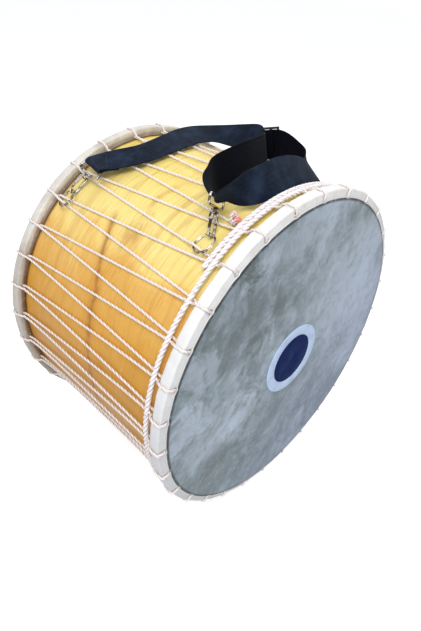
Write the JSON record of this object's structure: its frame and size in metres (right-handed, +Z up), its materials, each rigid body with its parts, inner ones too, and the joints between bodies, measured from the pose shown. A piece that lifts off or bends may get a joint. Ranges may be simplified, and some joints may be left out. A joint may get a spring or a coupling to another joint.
{
  "type": "davul drum",
  "caption": "Two-headed bass drum lying on its side: bent wooden shell, laced skins on hoops, tension rope, and a webbing strap with snap hooks.",
  "frame": {"origin": "centre of the bounding box's underside, on the floor", "axes": "+Z up, the drum's axis along Y, front head towards -Y, strap hooks on the -X side"},
  "size_m": [0.4626, 0.3208, 0.4881],
  "materials": {
    "honey_wood": "lacquered bent wood",
    "plain_wood": "plain bent wood",
    "goat_skin": "raw translucent skin",
    "patch_pale": "pale patch",
    "patch_dark": "dark patch",
    "white_cord": "twisted cord",
    "melted_tip": "cord sealed by melting",
    "black_webbing": "woven webbing",
    "black_slider": "moulded",
    "spring_steel": "bare steel",
    "nickel": "nickel plated"
  },
  "bodies": {
    "drum": {"shell": "honey_wood", "inner_ring_front": "plain_wood", "inner_ring_rear": "plain_wood", "front_hoop": "plain_wood", "rear_hoop": "plain_wood", "front_head": "goat_skin", "rear_head": "goat_skin", "head_patch_ring": "patch_pale", "head_patch_disc": "patch_dark", "lacing_cord": "white_cord", "tension_rope": "white_cord", "tension_rope_spare": "white_cord", "rope_knot": "melted_tip", "split_ring_front": "nickel", "split_ring_rear": "nickel", "hook_front_eye": "nickel", "hook_rear_eye": "nickel", "strap_slider": "black_slider", "strap": "black_webbing"},
    "hook_front": {"hook_front_body": "nickel", "hook_front_pin": "spring_steel", "hook_front_spring": "spring_steel"},
    "gate_front": {"hook_front_gate": "nickel"},
    "hook_rear": {"hook_rear_body": "nickel", "hook_rear_pin": "spring_steel", "hook_rear_spring": "spring_steel"},
    "gate_rear": {"hook_rear_gate": "nickel"}
  },
  "joints": [
    {"name": "hook_front_swivel", "type": "hinge", "parent": "drum", "child": "hook_front", "pos_m": [-0.08705, -0.09352, 0.44784], "axis": [0.4742, 0.2484, 0.8447], "range_deg": [-6, 6]},
    {"name": "hook_front_gate_hinge", "type": "hinge", "parent": "hook_front", "child": "gate_front", "pos_m": [-0.09426, -0.09478, 0.44338], "axis": [-0.0122, -0.9574, 0.2884], "range_deg": [0, 10], "stiffness_Nm_per_rad": 0.02, "deforming": ["hook_front_spring"]},
    {"name": "hook_rear_swivel", "type": "hinge", "parent": "drum", "child": "hook_rear", "pos_m": [-0.10933, 0.11471, 0.42827], "axis": [0.7403, -0.1725, 0.6498], "range_deg": [-6, 6]},
    {"name": "hook_rear_gate_hinge", "type": "hinge", "parent": "hook_rear", "child": "gate_rear", "pos_m": [-0.11734, 0.11722, 0.42651], "axis": [-0.32, -0.9404, 0.1149], "range_deg": [0, 10], "stiffness_Nm_per_rad": 0.02, "deforming": ["hook_rear_spring"]}
  ]
}
